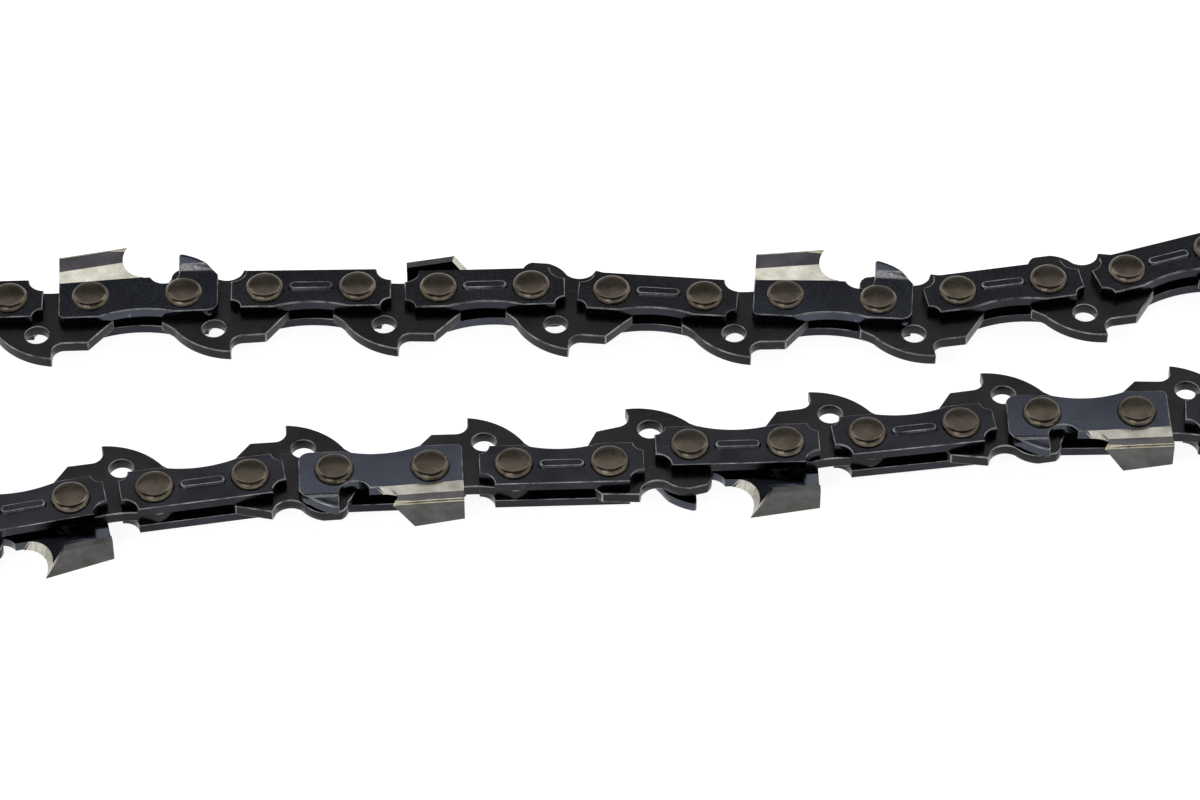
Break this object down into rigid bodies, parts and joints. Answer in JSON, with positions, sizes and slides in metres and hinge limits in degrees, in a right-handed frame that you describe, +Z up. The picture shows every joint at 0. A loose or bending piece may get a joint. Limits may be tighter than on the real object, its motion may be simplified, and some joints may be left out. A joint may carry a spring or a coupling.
{
  "type": "chainsaw chain loop",
  "caption": "Closed loop of low-profile saw chain: tanged drive links joined by tie straps and alternating left and right cutters on domed rivets.",
  "frame": {"origin": "on the floor, under the middle of the loop's box, with the chain lying on its side", "axes": "+X along the loop, +Z up, across the chain; the upper run travels towards +X and its cutters point to +Y"},
  "size_m": [0.2446, 0.0566, 0.0058],
  "materials": {
    "drive_link_steel": "dark blued steel, satin",
    "side_link_steel": "blued steel plates with bare rivet heads"
  },
  "bodies": {
    "drive_link_00": {"drive_link_00": "drive_link_steel"},
    "right_cutter_link_01": {"right_cutter_link_01": "side_link_steel"},
    "bumper_link_02": {"bumper_link_02": "drive_link_steel"},
    "tie_link_03": {"tie_link_03": "side_link_steel"},
    "drive_link_04": {"drive_link_04": "drive_link_steel"},
    "left_cutter_link_05": {"left_cutter_link_05": "side_link_steel"},
    "bumper_link_06": {"bumper_link_06": "drive_link_steel"},
    "tie_link_07": {"tie_link_07": "side_link_steel"},
    "drive_link_08": {"drive_link_08": "drive_link_steel"},
    "right_cutter_link_09": {"right_cutter_link_09": "side_link_steel"},
    "bumper_link_10": {"bumper_link_10": "drive_link_steel"},
    "tie_link_11": {"tie_link_11": "side_link_steel"},
    "bumper_link_12": {"bumper_link_12": "drive_link_steel"},
    "tie_link_13": {"tie_link_13": "side_link_steel"},
    "drive_link_14": {"drive_link_14": "drive_link_steel"},
    "tie_link_15": {"tie_link_15": "side_link_steel"},
    "drive_link_16": {"drive_link_16": "drive_link_steel"},
    "right_cutter_link_17": {"right_cutter_link_17": "side_link_steel"},
    "bumper_link_18": {"bumper_link_18": "drive_link_steel"},
    "tie_link_19": {"tie_link_19": "side_link_steel"},
    "drive_link_20": {"drive_link_20": "drive_link_steel"},
    "left_cutter_link_21": {"left_cutter_link_21": "side_link_steel"},
    "bumper_link_22": {"bumper_link_22": "drive_link_steel"},
    "tie_link_23": {"tie_link_23": "side_link_steel"},
    "drive_link_24": {"drive_link_24": "drive_link_steel"},
    "right_cutter_link_25": {"right_cutter_link_25": "side_link_steel"},
    "bumper_link_26": {"bumper_link_26": "drive_link_steel"},
    "tie_link_27": {"tie_link_27": "side_link_steel"},
    "drive_link_28": {"drive_link_28": "drive_link_steel"},
    "left_cutter_link_29": {"left_cutter_link_29": "side_link_steel"},
    "bumper_link_30": {"bumper_link_30": "drive_link_steel"},
    "tie_link_31": {"tie_link_31": "side_link_steel"},
    "drive_link_32": {"drive_link_32": "drive_link_steel"},
    "right_cutter_link_33": {"right_cutter_link_33": "side_link_steel"},
    "bumper_link_34": {"bumper_link_34": "drive_link_steel"},
    "tie_link_35": {"tie_link_35": "side_link_steel"},
    "drive_link_36": {"drive_link_36": "drive_link_steel"},
    "left_cutter_link_37": {"left_cutter_link_37": "side_link_steel"},
    "bumper_link_38": {"bumper_link_38": "drive_link_steel"},
    "tie_link_39": {"tie_link_39": "side_link_steel"},
    "drive_link_40": {"drive_link_40": "drive_link_steel"},
    "right_cutter_link_41": {"right_cutter_link_41": "side_link_steel"},
    "bumper_link_42": {"bumper_link_42": "drive_link_steel"},
    "tie_link_43": {"tie_link_43": "side_link_steel"},
    "drive_link_44": {"drive_link_44": "drive_link_steel"},
    "left_cutter_link_45": {"left_cutter_link_45": "side_link_steel"},
    "bumper_link_46": {"bumper_link_46": "drive_link_steel"},
    "tie_link_47": {"tie_link_47": "side_link_steel"},
    "drive_link_48": {"drive_link_48": "drive_link_steel"},
    "right_cutter_link_49": {"right_cutter_link_49": "side_link_steel"},
    "bumper_link_50": {"bumper_link_50": "drive_link_steel"},
    "tie_link_51": {"tie_link_51": "side_link_steel"},
    "drive_link_52": {"drive_link_52": "drive_link_steel"},
    "left_cutter_link_53": {"left_cutter_link_53": "side_link_steel"},
    "bumper_link_54": {"bumper_link_54": "drive_link_steel"},
    "tie_link_55": {"tie_link_55": "side_link_steel"}
  },
  "joints": [
    {"name": "rivet_24", "type": "hinge", "parent": "tie_link_23", "child": "drive_link_24", "pos_m": [0.11555, -0.00353, 0.0029], "axis": [0, 0, 1], "range_deg": [-14, 12]},
    {"name": "rivet_25", "type": "hinge", "parent": "drive_link_24", "child": "right_cutter_link_25", "pos_m": [0.10963, -0.00989, 0.0029], "axis": [0, 0, 1], "range_deg": [-12, 14]},
    {"name": "rivet_26", "type": "hinge", "parent": "right_cutter_link_25", "child": "bumper_link_26", "pos_m": [0.10022, -0.01313, 0.0029], "axis": [0, 0, 1], "range_deg": [-12, 31]},
    {"name": "rivet_27", "type": "hinge", "parent": "bumper_link_26", "child": "tie_link_27", "pos_m": [0.09159, -0.01419, 0.0029], "axis": [0, 0, 1], "range_deg": [-31, 12]},
    {"name": "rivet_28", "type": "hinge", "parent": "tie_link_27", "child": "drive_link_28", "pos_m": [0.08198, -0.01676, 0.0029], "axis": [0, 0, 1], "range_deg": [-22, 14]},
    {"name": "rivet_29", "type": "hinge", "parent": "drive_link_28", "child": "left_cutter_link_29", "pos_m": [0.0733, -0.01631, 0.0029], "axis": [0, 0, 1], "range_deg": [-14, 22]},
    {"name": "rivet_30", "type": "hinge", "parent": "left_cutter_link_29", "child": "bumper_link_30", "pos_m": [0.06348, -0.01475, 0.0029], "axis": [0, 0, 1], "range_deg": [-19, 20]},
    {"name": "rivet_31", "type": "hinge", "parent": "bumper_link_30", "child": "tie_link_31", "pos_m": [0.05489, -0.01339, 0.0029], "axis": [0, 0, 1], "range_deg": [-20, 19]},
    {"name": "rivet_32", "type": "hinge", "parent": "tie_link_31", "child": "drive_link_32", "pos_m": [0.04504, -0.01201, 0.0029], "axis": [0, 0, 1], "range_deg": [-17, 17]},
    {"name": "rivet_33", "type": "hinge", "parent": "drive_link_32", "child": "right_cutter_link_33", "pos_m": [0.03638, -0.01125, 0.0029], "axis": [0, 0, 1], "range_deg": [-17, 17]},
    {"name": "rivet_34", "type": "hinge", "parent": "right_cutter_link_33", "child": "bumper_link_34", "pos_m": [0.02645, -0.01073, 0.0029], "axis": [0, 0, 1], "range_deg": [-8, 11]},
    {"name": "rivet_35", "type": "hinge", "parent": "bumper_link_34", "child": "tie_link_35", "pos_m": [0.01781, -0.01164, 0.0029], "axis": [0, 0, 1], "range_deg": [-11, 8]},
    {"name": "rivet_36", "type": "hinge", "parent": "tie_link_35", "child": "drive_link_36", "pos_m": [0.00788, -0.01233, 0.0029], "axis": [0, 0, 1], "range_deg": [-19, 7]},
    {"name": "rivet_37", "type": "hinge", "parent": "drive_link_36", "child": "left_cutter_link_37", "pos_m": [-0.00078, -0.01309, 0.0029], "axis": [0, 0, 1], "range_deg": [-7, 19]},
    {"name": "rivet_38", "type": "hinge", "parent": "left_cutter_link_37", "child": "bumper_link_38", "pos_m": [-0.01072, -0.01274, 0.0029], "axis": [0, 0, 1], "range_deg": [-28, 6]},
    {"name": "rivet_39", "type": "hinge", "parent": "bumper_link_38", "child": "tie_link_39", "pos_m": [-0.01922, -0.01455, 0.0029], "axis": [0, 0, 1], "range_deg": [-6, 28]},
    {"name": "rivet_40", "type": "hinge", "parent": "tie_link_39", "child": "drive_link_40", "pos_m": [-0.02916, -0.0142, 0.0029], "axis": [0, 0, 1], "range_deg": [-19, 20]},
    {"name": "rivet_41", "type": "hinge", "parent": "drive_link_40", "child": "right_cutter_link_41", "pos_m": [-0.03785, -0.0139, 0.0029], "axis": [0, 0, 1], "range_deg": [-20, 19]},
    {"name": "rivet_42", "type": "hinge", "parent": "right_cutter_link_41", "child": "bumper_link_42", "pos_m": [-0.0478, -0.01372, 0.0029], "axis": [0, 0, 1], "range_deg": [-15, 18]},
    {"name": "rivet_43", "type": "hinge", "parent": "bumper_link_42", "child": "tie_link_43", "pos_m": [-0.05649, -0.01388, 0.0029], "axis": [0, 0, 1], "range_deg": [-18, 15]},
    {"name": "rivet_44", "type": "hinge", "parent": "tie_link_43", "child": "drive_link_44", "pos_m": [-0.06638, -0.01491, 0.0029], "axis": [0, 0, 1], "range_deg": [-11, 20]},
    {"name": "rivet_45", "type": "hinge", "parent": "drive_link_44", "child": "left_cutter_link_45", "pos_m": [-0.07502, -0.01582, 0.0029], "axis": [0, 0, 1], "range_deg": [-20, 11]},
    {"name": "rivet_46", "type": "hinge", "parent": "left_cutter_link_45", "child": "bumper_link_46", "pos_m": [-0.08485, -0.01738, 0.0029], "axis": [0, 0, 1], "range_deg": [-28, 3]},
    {"name": "rivet_47", "type": "hinge", "parent": "bumper_link_46", "child": "tie_link_47", "pos_m": [-0.09266, -0.02119, 0.0029], "axis": [0, 0, 1], "range_deg": [-3, 28]},
    {"name": "rivet_48", "type": "hinge", "parent": "tie_link_47", "child": "drive_link_48", "pos_m": [-0.10213, -0.02426, 0.0029], "axis": [0, 0, 1], "range_deg": [-8, 4]},
    {"name": "rivet_49", "type": "hinge", "parent": "drive_link_48", "child": "right_cutter_link_49", "pos_m": [-0.11056, -0.02216, 0.0029], "axis": [0, 0, 1], "range_deg": [-4, 8]},
    {"name": "rivet_50", "type": "hinge", "parent": "right_cutter_link_49", "child": "bumper_link_50", "pos_m": [-0.11695, -0.01454, 0.0029], "axis": [0, 0, 1], "range_deg": [-10, 13]},
    {"name": "rivet_51", "type": "hinge", "parent": "bumper_link_50", "child": "tie_link_51", "pos_m": [-0.11846, -0.00598, 0.0029], "axis": [0, 0, 1], "range_deg": [-13, 10]},
    {"name": "rivet_52", "type": "hinge", "parent": "tie_link_51", "child": "drive_link_52", "pos_m": [-0.11555, 0.00353, 0.0029], "axis": [0, 0, 1], "range_deg": [-14, 12]},
    {"name": "rivet_53", "type": "hinge", "parent": "drive_link_52", "child": "left_cutter_link_53", "pos_m": [-0.10963, 0.00989, 0.0029], "axis": [0, 0, 1], "range_deg": [-12, 14]},
    {"name": "rivet_54", "type": "hinge", "parent": "left_cutter_link_53", "child": "bumper_link_54", "pos_m": [-0.10022, 0.01313, 0.0029], "axis": [0, 0, 1], "range_deg": [-12, 31]},
    {"name": "rivet_55", "type": "hinge", "parent": "bumper_link_54", "child": "tie_link_55", "pos_m": [-0.09159, 0.01419, 0.0029], "axis": [0, 0, 1], "range_deg": [-31, 12]},
    {"name": "rivet_00", "type": "hinge", "parent": "tie_link_55", "child": "drive_link_00", "pos_m": [-0.08165, 0.01384, 0.0029], "axis": [0, 0, 1], "range_deg": [-19, 20]},
    {"name": "rivet_01", "type": "hinge", "parent": "drive_link_00", "child": "right_cutter_link_01", "pos_m": [-0.07297, 0.01354, 0.0029], "axis": [0, 0, 1], "range_deg": [-20, 19]},
    {"name": "rivet_02", "type": "hinge", "parent": "right_cutter_link_01", "child": "bumper_link_02", "pos_m": [-0.06302, 0.01336, 0.0029], "axis": [0, 0, 1], "range_deg": [-15, 18]},
    {"name": "rivet_03", "type": "hinge", "parent": "bumper_link_02", "child": "tie_link_03", "pos_m": [-0.05433, 0.01351, 0.0029], "axis": [0, 0, 1], "range_deg": [-18, 15]},
    {"name": "rivet_04", "type": "hinge", "parent": "tie_link_03", "child": "drive_link_04", "pos_m": [-0.04439, 0.01299, 0.0029], "axis": [0, 0, 1], "range_deg": [-17, 17]},
    {"name": "rivet_05", "type": "hinge", "parent": "drive_link_04", "child": "left_cutter_link_05", "pos_m": [-0.03574, 0.01224, 0.0029], "axis": [0, 0, 1], "range_deg": [-17, 17]},
    {"name": "rivet_06", "type": "hinge", "parent": "left_cutter_link_05", "child": "bumper_link_06", "pos_m": [-0.02579, 0.01189, 0.0029], "axis": [0, 0, 1], "range_deg": [-19, 20]},
    {"name": "rivet_07", "type": "hinge", "parent": "bumper_link_06", "child": "tie_link_07", "pos_m": [-0.01721, 0.01053, 0.0029], "axis": [0, 0, 1], "range_deg": [-20, 19]},
    {"name": "rivet_08", "type": "hinge", "parent": "tie_link_07", "child": "drive_link_08", "pos_m": [-0.00738, 0.00897, 0.0029], "axis": [0, 0, 1], "range_deg": [-22, 14]},
    {"name": "rivet_09", "type": "hinge", "parent": "drive_link_08", "child": "right_cutter_link_09", "pos_m": [0.0013, 0.00852, 0.0029], "axis": [0, 0, 1], "range_deg": [-14, 22]},
    {"name": "rivet_10", "type": "hinge", "parent": "right_cutter_link_09", "child": "bumper_link_10", "pos_m": [0.01115, 0.00713, 0.0029], "axis": [0, 0, 1], "range_deg": [-19, 7]},
    {"name": "rivet_11", "type": "hinge", "parent": "bumper_link_10", "child": "tie_link_11", "pos_m": [0.01981, 0.00789, 0.0029], "axis": [0, 0, 1], "range_deg": [-7, 19]},
    {"name": "rivet_12", "type": "hinge", "parent": "tie_link_11", "child": "bumper_link_12", "pos_m": [0.0297, 0.00893, 0.0029], "axis": [0, 0, 1], "range_deg": [-11, 20]},
    {"name": "rivet_13", "type": "hinge", "parent": "bumper_link_12", "child": "tie_link_13", "pos_m": [0.03835, 0.00984, 0.0029], "axis": [0, 0, 1], "range_deg": [-20, 11]},
    {"name": "rivet_14", "type": "hinge", "parent": "tie_link_13", "child": "drive_link_14", "pos_m": [0.04796, 0.01242, 0.0029], "axis": [0, 0, 1], "range_deg": [-28, 6]},
    {"name": "rivet_15", "type": "hinge", "parent": "drive_link_14", "child": "tie_link_15", "pos_m": [0.05646, 0.01422, 0.0029], "axis": [0, 0, 1], "range_deg": [-6, 28]},
    {"name": "rivet_16", "type": "hinge", "parent": "tie_link_15", "child": "drive_link_16", "pos_m": [0.06638, 0.01491, 0.0029], "axis": [0, 0, 1], "range_deg": [-8, 11]},
    {"name": "rivet_17", "type": "hinge", "parent": "drive_link_16", "child": "right_cutter_link_17", "pos_m": [0.07502, 0.01582, 0.0029], "axis": [0, 0, 1], "range_deg": [-11, 8]},
    {"name": "rivet_18", "type": "hinge", "parent": "right_cutter_link_17", "child": "bumper_link_18", "pos_m": [0.08449, 0.0189, 0.0029], "axis": [0, 0, 1], "range_deg": [-28, 3]},
    {"name": "rivet_19", "type": "hinge", "parent": "bumper_link_18", "child": "tie_link_19", "pos_m": [0.0923, 0.02271, 0.0029], "axis": [0, 0, 1], "range_deg": [-3, 28]},
    {"name": "rivet_20", "type": "hinge", "parent": "tie_link_19", "child": "drive_link_20", "pos_m": [0.10213, 0.02426, 0.0029], "axis": [0, 0, 1], "range_deg": [-8, 4]},
    {"name": "rivet_21", "type": "hinge", "parent": "drive_link_20", "child": "left_cutter_link_21", "pos_m": [0.11056, 0.02216, 0.0029], "axis": [0, 0, 1], "range_deg": [-4, 8]},
    {"name": "rivet_22", "type": "hinge", "parent": "left_cutter_link_21", "child": "bumper_link_22", "pos_m": [0.11695, 0.01454, 0.0029], "axis": [0, 0, 1], "range_deg": [-10, 13]}
  ],
  "couplings": [
    {"joint": "rivet_25", "follows": "rivet_24", "ratio": -1},
    {"joint": "rivet_52", "follows": "rivet_24", "ratio": 1},
    {"joint": "rivet_53", "follows": "rivet_24", "ratio": -1},
    {"joint": "rivet_27", "follows": "rivet_26", "ratio": -1},
    {"joint": "rivet_54", "follows": "rivet_26", "ratio": 1},
    {"joint": "rivet_55", "follows": "rivet_26", "ratio": -1},
    {"joint": "rivet_29", "follows": "rivet_28", "ratio": -1},
    {"joint": "rivet_08", "follows": "rivet_28", "ratio": 1},
    {"joint": "rivet_09", "follows": "rivet_28", "ratio": -1},
    {"joint": "rivet_31", "follows": "rivet_30", "ratio": -1},
    {"joint": "rivet_06", "follows": "rivet_30", "ratio": 1},
    {"joint": "rivet_07", "follows": "rivet_30", "ratio": -1},
    {"joint": "rivet_33", "follows": "rivet_32", "ratio": -1},
    {"joint": "rivet_04", "follows": "rivet_32", "ratio": 1},
    {"joint": "rivet_05", "follows": "rivet_32", "ratio": -1},
    {"joint": "rivet_35", "follows": "rivet_34", "ratio": -1},
    {"joint": "rivet_16", "follows": "rivet_34", "ratio": 1},
    {"joint": "rivet_17", "follows": "rivet_34", "ratio": -1},
    {"joint": "rivet_37", "follows": "rivet_36", "ratio": -1},
    {"joint": "rivet_10", "follows": "rivet_36", "ratio": 1},
    {"joint": "rivet_11", "follows": "rivet_36", "ratio": -1},
    {"joint": "rivet_39", "follows": "rivet_38", "ratio": -1},
    {"joint": "rivet_14", "follows": "rivet_38", "ratio": 1},
    {"joint": "rivet_15", "follows": "rivet_38", "ratio": -1},
    {"joint": "rivet_41", "follows": "rivet_40", "ratio": -1},
    {"joint": "rivet_00", "follows": "rivet_40", "ratio": 1},
    {"joint": "rivet_01", "follows": "rivet_40", "ratio": -1},
    {"joint": "rivet_43", "follows": "rivet_42", "ratio": -1},
    {"joint": "rivet_02", "follows": "rivet_42", "ratio": 1},
    {"joint": "rivet_03", "follows": "rivet_42", "ratio": -1},
    {"joint": "rivet_45", "follows": "rivet_44", "ratio": -1},
    {"joint": "rivet_12", "follows": "rivet_44", "ratio": 1},
    {"joint": "rivet_13", "follows": "rivet_44", "ratio": -1},
    {"joint": "rivet_47", "follows": "rivet_46", "ratio": -1},
    {"joint": "rivet_18", "follows": "rivet_46", "ratio": 1},
    {"joint": "rivet_19", "follows": "rivet_46", "ratio": -1},
    {"joint": "rivet_49", "follows": "rivet_48", "ratio": -1},
    {"joint": "rivet_20", "follows": "rivet_48", "ratio": 1},
    {"joint": "rivet_21", "follows": "rivet_48", "ratio": -1},
    {"joint": "rivet_51", "follows": "rivet_50", "ratio": -1},
    {"joint": "rivet_22", "follows": "rivet_50", "ratio": 1}
  ]
}
